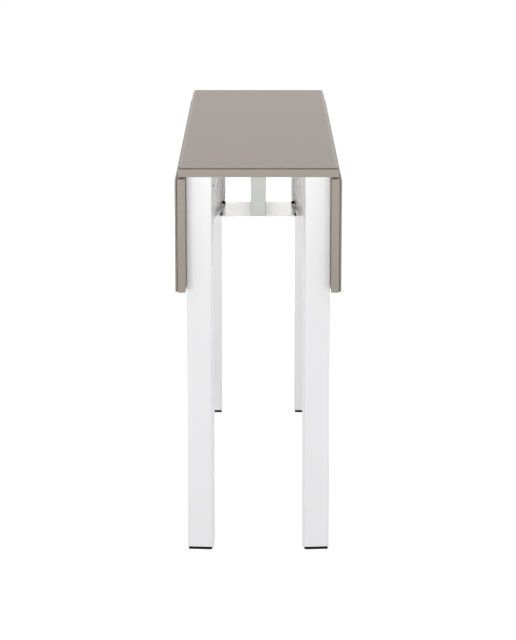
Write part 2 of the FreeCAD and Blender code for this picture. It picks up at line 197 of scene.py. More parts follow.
class ShaderGraph:
    """The node tree of one material or world, built from an empty sheet."""

    def __init__(self, owner: bpy.types.Material | bpy.types.World) -> None:
        """Clears the owner's tree, ready for its nodes.

        Args:
            owner: The material or world.
        """
        owner.use_nodes = True
        self.tree = owner.node_tree
        self.tree.nodes.clear()

    def node(
        self,
        kind: str,
        settings: dict[str, Any] | None = None,
        inputs: dict[str | int, Input] | None = None,
        output: str | int = 0,
    ) -> Signal | None:
        """Adds a node, sets what it is, then feeds its sockets.

        Args:
            kind: Blender's name for the node's type.
            settings: The node's own settings, set before its sockets.
            inputs: A value or a signal for each socket, by name or number.
            output: The output that the signal stands for.

        Returns:
            The chosen output, or None on a node that has none.
        """
        made = self.tree.nodes.new(kind)
        for name, value in (settings or {}).items():
            setattr(made, name, value)
        for key, value in (inputs or {}).items():
            self._feed(made.inputs[key], value)
        return Signal(self, made.outputs[output]) if made.outputs else None

    def _feed(self, socket: bpy.types.NodeSocket, value: Input) -> None:
        """Links a signal to a socket, or sets the socket to a plain value.

        Args:
            socket: The input socket.
            value: The signal, number, colour or vector.
        """
        if isinstance(value, Signal):
            self.tree.links.new(value.socket, socket)
        elif socket.type == "RGBA":
            socket.default_value = (*value, 1.0)
        else:
            socket.default_value = value

    def blend(self, factor: Input, first: Input, second: Input) -> Signal:
        """Goes from the first colour to the second as the factor goes from 0 to 1.

        Args:
            factor: The share of the second colour.
            first: The colour at 0.
            second: The colour at 1.

        Returns:
            The blended colour.
        """
        inputs = {MIX_FACTOR: factor, MIX_FIRST: first, MIX_SECOND: second}
        return self.node("ShaderNodeMix", {"data_type": "RGBA"}, inputs, MIX_RESULT)

    def noise(self, size: float, detail: float, stretch: Sequence[float] = (1.0, 1.0, 1.0)) -> Signal:
        """Soft blotches on the piece's own coordinates, about half light and half dark.

        Args:
            size: How far apart the blotches are.
            detail: How many finer layers lie over them.
            stretch: Less than 1 on an axis draws the blotches out along it.

        Returns:
            A value from 0 to 1.
        """
        place = self.node("ShaderNodeTexCoord", output="Object")
        turned = self.node("ShaderNodeMapping", inputs={"Vector": place, "Scale": stretch})
        inputs = {"Vector": turned, "Scale": 1.0 / size, "Detail": detail}
        return self.node("ShaderNodeTexNoise", inputs=inputs)

    def bump(self, height: Signal, depth: float) -> Signal:
        """Turns a height of 0 to 1 into a normal.

        Args:
            height: The height over the surface.
            depth: What a height of 1 measures.

        Returns:
            The bumped normal.
        """
        return self.node("ShaderNodeBump", inputs={"Height": height, "Distance": depth, "Strength": 1.0})

    def end(self, shader: Signal, kind: str = "ShaderNodeOutputMaterial") -> None:
        """Puts the finished shader on the output."""
        self.node(kind, inputs={"Surface": shader})


@dataclass(frozen=True)
class Finish:
    """A surface finish, and what its surface does close up.

    Attributes:
        name: The material's name.
        slot: The name of the record's slot for this finish, which is not used.
        colour: The plain colour.
        shade: The colour of the darker blotches.
        roughness: The middle roughness.
        grain: The size of the surface's texture.
        depth: How deep that texture is.
        spread: How far the roughness goes either way.
        cloud: The size of the broad changes of tone.
        cloud_share: Their part in the tone, where the texture has the rest.
        metallic: 1 on bare metal.
        specular: The shine of a surface seen straight on.
        coat: How much clear coat lies over the colour.
        stretch: How the texture is drawn out along the axes.
    """

    name: str
    slot: str
    colour: Colour
    shade: Colour
    roughness: float
    grain: float
    depth: float
    spread: float = 0.06
    cloud: float = 0.08
    cloud_share: float = 0.6
    metallic: float = 0.0
    specular: float = 0.5
    coat: float = 0.0
    stretch: tuple[float, float, float] = (1.0, 1.0, 1.0)

    def material(self) -> bpy.types.Material:
        """Gives the finish's material, made the first time it is asked for.

        Returns:
            The material.
        """
        made = bpy.data.materials.get(self.name)
        if made is None:
            made = bpy.data.materials.new(self.name)
            graph = ShaderGraph(made)
            graph.end(self.shader(graph))
        return made

    def shader(self, graph: ShaderGraph) -> Signal:
        """Builds the surface from its colour, roughness and texture.

        Args:
            graph: The material's graph.

        Returns:
            The shader.
        """
        texture = graph.noise(self.grain, detail=2.0, stretch=self.stretch)
        values = {
            "Base Color": self.paint(graph, texture),
            "Roughness": self.roughness + (texture - 0.5) * (2.0 * self.spread),
            "Normal": graph.bump(texture, self.depth),
            "Metallic": self.metallic,
            "Specular IOR Level": self.specular,
            "Coat Weight": self.coat,
            "Coat Roughness": self.roughness / 2.0,
        }
        return graph.node("ShaderNodeBsdfPrincipled", inputs=values)

    def paint(self, graph: ShaderGraph, texture: Signal) -> Signal:
        """Colours the surface, here with a broad cloud and a little of the texture.

        Args:
            graph: The material's graph.
            texture: The fine texture.

        Returns:
            The colour.
        """
        cloud = graph.noise(self.cloud, detail=3.0)
        tone = cloud * self.cloud_share + texture * (1.0 - self.cloud_share)
        return graph.blend(tone, self.shade, self.colour)


@dataclass(frozen=True)
class Speckled(Finish):
    """A finish with fine separate specks, as on a laminated board.

    Attributes:
        speck: The colour of the specks.
        speck_size: How far apart they lie.
        speck_level: The noise above which a speck shows.
    """

    speck: Colour = srgb(151, 143, 132)
    speck_size: float = 0.0012
    speck_level: float = 0.66

    def paint(self, graph: ShaderGraph, texture: Signal) -> Signal:
        """Lays the specks over the plain finish.

        Args:
            graph: The material's graph.
            texture: The fine texture.

        Returns:
            The colour.
        """
        plain = super().paint(graph, texture)
        specks = graph.noise(self.speck_size, detail=0.0) > self.speck_level
        return graph.blend(specks, plain, self.speck)


SATIN_GLASS = Finish(
    "satin_taupe_glass", "smoked_glass", srgb(163, 153, 144), srgb(159, 149, 140),
    roughness=0.55, grain=0.0006, depth=0.000015, cloud=0.25, specular=0.15,
)
GLASS_RIM = Finish(
    "polished_glass_rim", "smoked_glass", srgb(161, 154, 146), srgb(154, 147, 139),
    roughness=0.45, grain=0.0009, depth=0.00001, cloud=0.02, specular=0.2,
)
# Dark bond film between the glass and the board. Its dark colour is partly the film's own and partly
# painted shade of the gap under the glass, and the glass sheets take it as painted shade on the back
# rounding of their rims.
BOND_FILM_AND_GAP_SHADE = Finish(
    "dark_bond_film", "dark_bond", srgb(52, 48, 44), srgb(42, 39, 36),
    roughness=0.7, spread=0.1, grain=0.0008, depth=0.00002,
)
BOARD = Speckled(
    "taupe_laminate", "taupe_board", srgb(160, 152, 141), srgb(155, 147, 136),
    roughness=0.55, spread=0.08, grain=0.0007, depth=0.00003, cloud=0.12, specular=0.35,
)
BACKING = Finish(
    "white_backing_foil", "taupe_board", srgb(238, 238, 236), srgb(231, 231, 228),
    roughness=0.5, spread=0.08, grain=0.0009, depth=0.00003, cloud=0.06, specular=0.4,
)
POWDER_COAT = Finish(
    "white_powder_coat", "white_paint", srgb(243, 243, 244), srgb(240, 240, 242),
    roughness=0.3, grain=0.0014, depth=0.00003, cloud=0.1,
)
GLOSS_COAT = replace(POWDER_COAT, name="white_gloss_coat", coat=1.0)
WHITE_PLASTIC = Finish(
    "white_moulded_plastic", "white_plastic", srgb(244, 244, 243), srgb(239, 239, 238),
    roughness=0.48, grain=0.0005, depth=0.00002,
)
GREY_PLASTIC = Finish(
    "grey_moulded_plastic", "grey_plastic", srgb(196, 198, 193), srgb(188, 191, 185),
    roughness=0.45, grain=0.0005, depth=0.00002, cloud=0.03,
)
BLACK_PLASTIC = Finish(
    "black_moulded_plastic", "black_plastic", srgb(17, 17, 18), srgb(12, 12, 13),
    roughness=0.55, spread=0.1, grain=0.0006, depth=0.00004, cloud=0.02, specular=0.12,
)
BRIGHT_STEEL = Finish(
    "brushed_bright_steel", "bright_steel", srgb(205, 206, 208), srgb(182, 184, 187),
    roughness=0.3, spread=0.12, grain=0.0006, depth=0.00001, metallic=1.0, stretch=(1.0, 0.02, 1.0),
)
ZINC_STEEL = Speckled(
    "zinc_plated_steel", "zinc_steel", srgb(202, 205, 210), srgb(178, 182, 190),
    roughness=0.34, spread=0.1, grain=0.0012, depth=0.00001, cloud=0.006, metallic=1.0,
    speck=srgb(214, 212, 204), speck_size=0.002, speck_level=0.6,
)


def dress(finish: Finish, *nodes: str) -> None:
    """Gives CAD nodes, whose shape stays, a finish in place of their plain colour.

    Args:
        finish: The finish.
        nodes: The nodes' names.
    """
    for node in nodes:
        frame["nodes"][node].material_slots[0].material = finish.material()
        LOG.info("dressed %s in %s", node, finish.name)


def solids_of(node: str) -> list[list[Vector]]:
    """Finds the separate solids of a CAD node.

    Args:
        node: The node's name.

    Returns:
        The corner points of each solid.
    """
    copy = Blank.from_node(node)
    waiting = dict.fromkeys(copy.bm.verts)
    solids = []
    while waiting:
        reached = [next(iter(waiting))]
        del waiting[reached[0]]
        for vert in reached:
            for beside in [edge.other_vert(vert) for edge in vert.link_edges]:
                if beside in waiting:
                    del waiting[beside]
                    reached.append(beside)
        solids.append([vert.co.copy() for vert in reached])
    copy.bm.free()
    return solids


def box_of(points: Iterable[Vector]) -> tuple[Vector, Vector]:
    """Gives the lowest and highest corner of some points."""
    columns = list(zip(*points))
    return Vector(map(min, columns)), Vector(map(max, columns))


def lies_at(part: BMEdge | BMFace, axis: int, level: float) -> bool:
    """Tells whether an edge or a face lies at a level on an axis."""
    return all(abs(vert.co[axis] - level) < TOUCH for vert in part.verts)


def add_modifier(made: bpy.types.Object, name: str, kind: str, **settings: Any) -> None:
    """Adds a modifier to a piece.

    Args:
        made: The piece.
        name: The modifier's name.
        kind: Blender's name for its type.
        settings: Its settings.
    """
    modifier = made.modifiers.new(name, kind)
    for setting, value in settings.items():
        setattr(modifier, setting, value)


class Blank:
    """A piece of stock in work: a bmesh with the cuts, folds and roundings that the pieces share."""

    def __init__(self) -> None:
        """Starts with an empty bench."""
        self.bm = bmesh.new()

    @classmethod
    def from_node(cls, node: str) -> "Blank":
        """Copies a CAD node's loose triangles and merges them into whole faces.

        Args:
            node: The node's name.

        Returns:
            The merged copy.
        """
        blank = cls()
        blank.bm.from_mesh(frame["nodes"][node].data)
        bmesh.ops.remove_doubles(blank.bm, verts=blank.bm.verts, dist=TOUCH)
        bmesh.ops.dissolve_limit(
            blank.bm, angle_limit=FLAT_ANGLE, verts=blank.bm.verts, edges=blank.bm.edges
        )
        return blank

    @classmethod
    def block(cls, corner: Sequence[float], opposite: Sequence[float]) -> "Blank":
        """Starts from a rectangular block.

        Args:
            corner: One of its corners.
            opposite: The corner across from it.

        Returns:
            The block.
        """
        blank = cls()
        first, second = Vector(corner), Vector(opposite)
        size = [abs(span) for span in second - first]
        verts = bmesh.ops.create_cube(blank.bm, size=1.0)["verts"]
        bmesh.ops.scale(blank.bm, vec=size, verts=verts)
        bmesh.ops.translate(blank.bm, vec=(first + second) / 2, verts=verts)
        return blank

    def rod(self, start: Vector, finish: Vector, radius: float, flats: int) -> None:
        """Adds a round rod with flat ends.

        Args:
            start: The middle of one end.
            finish: The middle of the other end.
            radius: The rod's radius.
            flats: The number of flats round it.
        """
        run = finish - start
        turned = UP.rotation_difference(run).to_matrix().to_4x4()
        bmesh.ops.create_cone(
            self.bm, cap_ends=True, segments=flats, radius1=radius, radius2=radius,
            depth=run.length, matrix=Matrix.Translation((start + finish) / 2) @ turned,
        )

    def circle(
        self, radius: float, flats: int, middle: Sequence[float] = (0.0, 0.0, 0.0)
    ) -> list[BMVert]:
        """Draws a level circle with no face in it.

        Args:
            radius: The circle's radius.
            flats: The number of flats round it.
            middle: The middle of the circle.

        Returns:
            The circle's points.
        """
        place = Matrix.Translation(middle)
        return bmesh.ops.create_circle(self.bm, segments=flats, radius=radius, matrix=place)["verts"]

    def edges_along(self, axis: int) -> list[BMEdge]:
        """Finds the edges that run along an axis."""
        others = [a for a in (X, Y, Z) if a != axis]
        return [
            edge for edge in self.bm.edges
            if all(abs(edge.verts[0].co[a] - edge.verts[1].co[a]) < TOUCH for a in others)
        ]

    def edges_at(self, axis: int, *levels: float) -> list[BMEdge]:
        """Finds the edges that lie at one of the levels on an axis."""
        return [edge for level in levels for edge in self.bm.edges if lies_at(edge, axis, level)]

    def faces_at(self, axis: int, *levels: float) -> list[BMFace]:
        """Finds the faces that lie flat at one of the levels on an axis."""
        return [face for level in levels for face in self.bm.faces if lies_at(face, axis, level)]

    def round_edges(self, edges: Iterable[BMEdge], radius: float, flats: int) -> None:
        """Rounds edges over.

        Args:
            edges: The edges.
            radius: The radius of the rounding.
            flats: The number of flats across it.
        """
        bmesh.ops.bevel(
            self.bm, geom=list(edges), offset=radius, offset_type="OFFSET", segments=flats,
            profile=0.5, affect="EDGES", material=-1, clamp_overlap=True,
        )

    def cut(self, axis: int, level: float) -> None:
        """Scores the whole blank across at a level on an axis, without parting it."""
        everything = [*self.bm.verts, *self.bm.edges, *self.bm.faces]
        bmesh.ops.bisect_plane(
            self.bm, geom=everything, dist=TOUCH, plane_co=AXES[axis] * level, plane_no=AXES[axis]
        )

    def fold(self, edges: Sequence[BMEdge], reach: Vector) -> None:
        """Carries a sheet on from some of its edges.

        Args:
            edges: The sheet's edges at the fold.
            reach: The direction and length of the flange.
        """
        made = bmesh.ops.extrude_edge_only(self.bm, edges=list(edges))["geom"]
        bmesh.ops.translate(self.bm, vec=reach, verts=[v for v in made if isinstance(v, BMVert)])

    def push(self, faces: Sequence[BMFace], offset: Vector) -> list[BMVert]:
        """Pushes faces in or out, with walls behind them.

        With the edges given too, a solid keeps no face inside it, and a sheet keeps its first side.

        Args:
            faces: The faces to push.
            offset: Where they go.

        Returns:
            The points of the pushed faces.
        """
        edges = dict.fromkeys(edge for face in faces for edge in face.edges)
        made = bmesh.ops.extrude_face_region(self.bm, geom=[*faces, *edges])["geom"]
        pushed = [vert for vert in made if isinstance(vert, BMVert)]
        bmesh.ops.translate(self.bm, vec=offset, verts=pushed)
        return pushed

    def inset(self, faces: Sequence[BMFace], margin: float) -> None:
        """Draws a border inside faces, which become the part inside it."""
        bmesh.ops.inset_region(self.bm, faces=list(faces), thickness=margin, use_even_offset=True)

    def hollow(self, axis: int, levels: tuple[float, float], wall: float) -> None:
        """Bores a post through from end to end, so that it becomes a tube.

        Args:
            axis: The axis that the post runs along.
            levels: Where its two end faces lie.
            wall: The tube's wall.
        """
        ends = self.faces_at(axis, *levels)
        self.inset(ends, wall)
        rims = [edge for face in ends for edge in face.edges]
        bmesh.ops.delete(self.bm, geom=ends, context="FACES_ONLY")
        bmesh.ops.bridge_loops(self.bm, edges=rims)

    def place(self, matrix: Matrix) -> None:
        """Moves the whole blank."""
        bmesh.ops.transform(self.bm, matrix=matrix, verts=self.bm.verts)

    def stamp(self, pattern: bpy.types.Mesh, matrix: Matrix) -> None:
        """Adds a copy of a finished mesh.

        Args:
            pattern: The mesh.
            matrix: Where the copy goes.
        """
        before = len(self.bm.verts)
        self.bm.from_mesh(pattern)
        self.bm.verts.ensure_lookup_table()
        bmesh.ops.transform(self.bm, matrix=matrix, verts=self.bm.verts[before:])

    def pattern(self, name: str) -> bpy.types.Mesh:
        """Sets the blank down as a mesh that others are stamped from.

        Args:
            name: The mesh's name.

        Returns:
            The mesh.
        """
        bmesh.ops.recalc_face_normals(self.bm, faces=self.bm.faces)
        mesh = bpy.data.meshes.new(name)
        self.bm.to_mesh(mesh)
        self.bm.free()
        return mesh

    def piece(
        self,
        name: str,
        body: str,
        finishes: Sequence[Finish],
        stands_for: Sequence[str],
        sheet: float = 0.0,
        edge: float = 0.0,
        edge_flats: int = EDGE_FLATS,
    ) -> None:
        """Finishes the blank as a piece of the table, with flat faces shaded flat.

        Args:
            name: The piece's name.
            body: The body that it moves with.
            finishes: Its finishes, in the order of its faces' numbers.
            stands_for: The CAD nodes that it takes the place of.
            sheet: The thickness that a folded surface gets, half to either side.
            edge: The radius that takes the sharpness off every edge.
            edge_flats: The number of flats across those edges.
        """
        mesh = self.pattern(name)
        if "custom_normal" in mesh.attributes:
            mesh.attributes.remove(mesh.attributes["custom_normal"])
        for finish in finishes:
            mesh.materials.append(finish.material())
        mesh.shade_smooth()
        mesh.set_sharp_from_angle(angle=SHARP_ANGLE)
        made = bpy.data.objects.new(name, mesh)
        bpy.context.scene.collection.objects.link(made)
        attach(made, body)
        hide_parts(*stands_for)
        if sheet:
            add_modifier(
                made, "sheet_thickness", "SOLIDIFY", thickness=sheet, offset=0.0, use_even_offset=True
            )
        if edge:
            add_modifier(
                made, "softened_edges", "BEVEL", width=edge, segments=edge_flats,
                limit_method="ANGLE", angle_limit=SHARP_ANGLE, miter_outer="MITER_ARC",
            )
        add_modifier(made, "even_shading", "WEIGHTED_NORMAL", keep_sharp=True)
        LOG.info("built %s on %s in %s", name, body, finishes[0].name)


@dataclass
class GlassSheet:
    """A satin glass sheet, painted on its back, with a polished bevel round its face.

    Attributes:
        node: The CAD node that it stands for.
        body: The body that it moves with.
        facing: The way that its face looks.
        corner_radius: The radius of its four corners.
        bevel_width: The width of the bevel.
        bevel_depth: How far the bevel falls towards the rim.
        rim_radius: The rounding of the rim's edges. The rounding on the back side takes painted shade.
    """

    node: str
    body: str
    facing: Facing
    corner_radius: float = 0.002
    bevel_width: float = 0.004
    bevel_depth: float = 0.0004
    rim_radius: float = 0.0008

    def build(self) -> None:
        """Grinds the bevel, then rounds the corners and both sides of the rim, and paints shade on the
        rim's back rounding with the dark bond finish.
        """
        axis, way = self.facing.value
        low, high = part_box(self.node)
        back, face = (low[axis], high[axis])[::way]
        blank = Blank.block(low, high)
        rim = blank.edges_at(axis, face)
        blank.inset(blank.faces_at(axis, face), self.bevel_width)
        edge = face - way * self.bevel_depth
        for vert in dict.fromkeys(vert for line in rim for vert in line.verts):
            vert.co[axis] = edge
        blank.round_edges(blank.edges_along(axis), self.corner_radius, CORNER_FLATS)
        blank.round_edges(blank.edges_at(axis, edge, back), self.rim_radius, RIM_FLATS)
        finishes = (SATIN_GLASS, GLASS_RIM, BOND_FILM_AND_GAP_SHADE)
        painted = blank.faces_at(axis, face, back)
        for surface in blank.bm.faces:
            rise = abs(surface.calc_center_median()[axis] - back)
            # Painted shade: the rounding on the rim's back side takes the dark bond finish, so that the
            # gap under the glass reads dark.
            rim_or_painted_shade = BOND_FILM_AND_GAP_SHADE if rise < self.rim_radius else GLASS_RIM
            surface.material_index = finishes.index(SATIN_GLASS if surface in painted else rim_or_painted_shade)
        blank.piece(self.node + "_sheet", self.body, finishes, [self.node])


@dataclass
class Board:
    """A laminated board with its hinge pockets and holes, and softened edges at its two ends.

    Attributes:
        node: The CAD node that it stands for.
        body: The body that it moves with.
        backed: Whether its underside has a plain white backing in place of the laminate.
        edge_radius: The radius of the edges round its ends.
    """

    node: str
    body: str
    backed: bool
    edge_radius: float = 0.0008

    def build(self) -> None:
        """Copies the board, rounds the edges of its end faces and backs its underside."""
        blank = Blank.from_node(self.node)
        low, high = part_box(self.node)
        blank.round_edges(blank.edges_at(Y, low.y, high.y), self.edge_radius, RIM_FLATS)
        finishes = (BOARD, BACKING)
        if self.backed:
            for face in blank.faces_at(Z, low.z):
                face.material_index = finishes.index(BACKING)
        blank.piece(self.node + "_laminated", self.body, finishes, [self.node])


@dataclass
class GlazedBoard:
    """A board, a bond film and a glass sheet, as the fixed top and the two drop leaves are.

    Attributes:
        name: The word that its CAD nodes' names begin with.
        body: The body that it moves with.
        facing: The way that its glass looks.
        backed: Whether its board has a plain white underside.
    """

    name: str
    body: str
    facing: Facing
    backed: bool = False

    def build(self) -> None:
        """Builds the board and the glass, and dresses the film between them."""
        Board(self.name + "_panel", self.body, self.backed).build()
        # The film's dark colour is partly its own and partly painted shade of the gap under the glass.
        dress(BOND_FILM_AND_GAP_SHADE, self.name + "_bond_layer")
        GlassSheet(self.name + "_glass", self.body, self.facing).build()


@dataclass
class Leg:
    """One square steel leg with the plug in its top and the foot in its bottom.

    Attributes:
        side: The side of the table that it stands at.
        end: The end of the table that it stands at.
        size: Its width, square.
        wall: The wall of its tube.
        corner_radius: The radius of its four corners.
        turn: How far it is turned about its own middle.
        cut_radius: The softening of its cut ends.
        foot_inset: How far the foot stands back from the leg's faces.
        foot_radius: The rounding under the foot.
        sole_margin: The width of the rim that the foot stands on.
        sole_depth: How far the sole is sunk inside that rim.
        insert_wall: The wall of the spigots that hold the plug and the foot.
        insert_room: How far a spigot stands in from the leg's faces, in walls of its tube.
        vent_radius: The radius of the vent hole that two of the legs have.
        vent_drop: The hole's distance below the board.
        vent_offset: Its distance from the leg's middle, towards the middle of the table.
        vent_fit: How much of that radius the hole's corners and the plug's shank take up.
        vent_plug_radius: The radius of the black plug's head in that hole.
        vent_plug_height: How far its head stands proud.
    """

    side: Side
    end: End
    size: float = 0.048
    wall: float = 0.002
    corner_radius: float = 0.0025
    turn: float = math.radians(5.0)
    cut_radius: float = 0.0004
    foot_inset: float = 0.0015
    foot_radius: float = 0.0005
    sole_margin: float = 0.006
    sole_depth: float = 0.0012
    insert_wall: float = 0.003
    insert_room: float = 1.05
    vent_radius: float = 0.0015
    vent_drop: float = 0.026
    vent_offset: float = 0.008
    vent_fit: float = 0.95
    vent_plug_radius: float = 0.0024
    vent_plug_height: float = 0.0012

    @property
    def name(self) -> str:
        """The leg's name, from the corner that it stands at."""
        return f"{self.side.word}_{self.end.word}"

    @property
    def stand(self) -> Matrix:
        """The leg's place and turn.

        Returns:
            The move from the origin.
        """
        low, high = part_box(self.name + "_leg")
        middle = (low + high) / 2
        middle.z = 0.0
        turn = -self.turn * self.side.value * self.end.value
        return Matrix.Translation(middle) @ Matrix.Rotation(turn, 4, "Z")

    def post(self, inset: float, levels: tuple[float, float]) -> Blank:
        """Makes a square post with rounded corners about the origin.

        Args:
            inset: How far it stands back from the leg's faces.
            levels: The heights of its two ends.

        Returns:
            The post.
        """
        half = self.size / 2 - inset
        blank = Blank.block((-half, -half, levels[0]), (half, half, levels[1]))
        blank.round_edges(blank.edges_along(Z), self.corner_radius, CORNER_FLATS)
        return blank

    @property
    def vented(self) -> bool:
        """Whether the leg has the vent hole, as two that stand corner to corner do."""
        return self.side.value == self.end.value

    @property
    def vent(self) -> Vector:
        """The middle of the hole on the leg's face, with the leg about the origin."""
        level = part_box(self.name + "_leg_plug")[1].z - self.vent_drop
        return Vector((-self.side.value * self.size / 2, -self.end.value * self.vent_offset, level))

    def build(self) -> None:
        """Builds the tube, the plug, the foot and, where there is a vent hole, its plug."""
        self.build_tube()
        self.build_plug()
        self.build_foot()
        if self.vented:
            self.build_vent_plug()

    def set_down(self, blank: Blank, name: str, finish: Finish, *nodes: str) -> None:
        """Moves a finished shape from the origin to the leg's place.

        Args:
            blank: The shape.
            name: The piece's name, without the corner.
            finish: Its finish.
            nodes: The CAD nodes that it takes the place of, without the corner.
        """
        blank.place(self.stand)
        stands_for = [self.name + node for node in nodes]
        blank.piece(self.name + name, FRAME_BODY, (finish,), stands_for)

    def build_tube(self) -> None:
        """Builds the steel tube."""
        low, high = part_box(self.name + "_leg")
        levels = (low.z, high.z)
        tube = self.post(0.0, levels)
        tube.round_edges(tube.edges_at(Z, *levels), self.cut_radius, EDGE_FLATS)
        tube.hollow(Z, levels, self.wall)
        if self.vented:
            self.cut_vent(tube)
        self.set_down(tube, "_leg_tube", POWDER_COAT, "_leg")

    def cut_vent(self, tube: Blank) -> None:
        """Cuts the small vent hole through the wall that faces the middle of the table.

        Args:
            tube: The tube, about the origin.
        """
        hole = self.vent
        for axis in (Y, Z):
            tube.cut(axis, hole[axis] - self.vent_radius)
            tube.cut(axis, hole[axis] + self.vent_radius)
        wall = []
        for face in tube.bm.faces:
            place = face.calc_center_median()
            near = max(abs(place.y - hole.y), abs(place.z - hole.z)) < self.vent_radius
            if near and place.x * self.side.value < 0:
                wall.append(face)
        rims = [edge for face in wall for edge in face.edges]
        bmesh.ops.delete(tube.bm, geom=wall, context="FACES_ONLY")
        bored = bmesh.ops.bridge_loops(tube.bm, edges=rims)["edges"]
        tube.round_edges(bored, self.vent_radius * self.vent_fit, FOLD_FLATS)

    def build_vent_plug(self) -> None:
        """Builds the small black plug that closes the vent hole."""
        inward = AXES[X] * self.side.value
        face = self.vent - inward * self.vent_plug_height
        plug = Blank()
        plug.rod(face, self.vent, self.vent_plug_radius, PLUG_FLATS)
        plug.round_edges(plug.edges_at(X, face.x), self.vent_plug_height / 2, RIM_FLATS)
        root = plug.faces_at(X, self.vent.x)
        plug.inset(root, self.vent_plug_radius - self.vent_radius * self.vent_fit)
        plug.push(root, inward * self.wall)
        self.set_down(plug, "_vent_plug", BLACK_PLASTIC)

    def spigot(self, blank: Blank, level: float, margin: float, reach: float) -> None:
        """Carries a spigot on from a flange into the tube, and hollows it.

        Args:
            blank: The flange.
            level: The height of the flange's face at the tube.
            margin: How far the spigot stands in from the flange's edge.
            reach: How far it goes, upwards or downwards.
        """
        root = blank.faces_at(Z, level)
        blank.inset(root, margin)
        blank.push(root, UP * reach)
        tip = blank.faces_at(Z, level + reach)
        blank.inset(tip, self.insert_wall)
        blank.push(tip, UP * -reach)

    def build_plug(self) -> None:
        """Builds the white plug whose flange lies between the leg and the board."""
        low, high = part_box(self.name + "_leg_plug")
        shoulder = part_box(self.name + "_leg")[1].z
        plug = self.post(0.0, (shoulder, high.z))
        plug.round_edges(plug.edges_at(Z, high.z), self.cut_radius, EDGE_FLATS)
        self.spigot(plug, shoulder, self.wall * self.insert_room, low.z - shoulder)
        self.set_down(plug, "_top_plug", WHITE_PLASTIC, "_leg_plug")

    def build_foot(self) -> None:
        """Builds the black foot, with a rounded edge and a sunk sole."""
        low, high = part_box(self.name + "_foot")
        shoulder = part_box(self.name + "_leg")[0].z
        foot = self.post(self.foot_inset, (low.z, shoulder))
        foot.round_edges(foot.edges_at(Z, low.z), self.foot_radius, FOLD_FLATS)
        margin = self.wall * self.insert_room - self.foot_inset
        self.spigot(foot, shoulder, margin, high.z - shoulder)
        sole = foot.faces_at(Z, low.z)
        foot.inset(sole, self.sole_margin)
        foot.push(sole, UP * self.sole_depth)
        self.set_down(foot, "_foot_pad", BLACK_PLASTIC, "_foot")


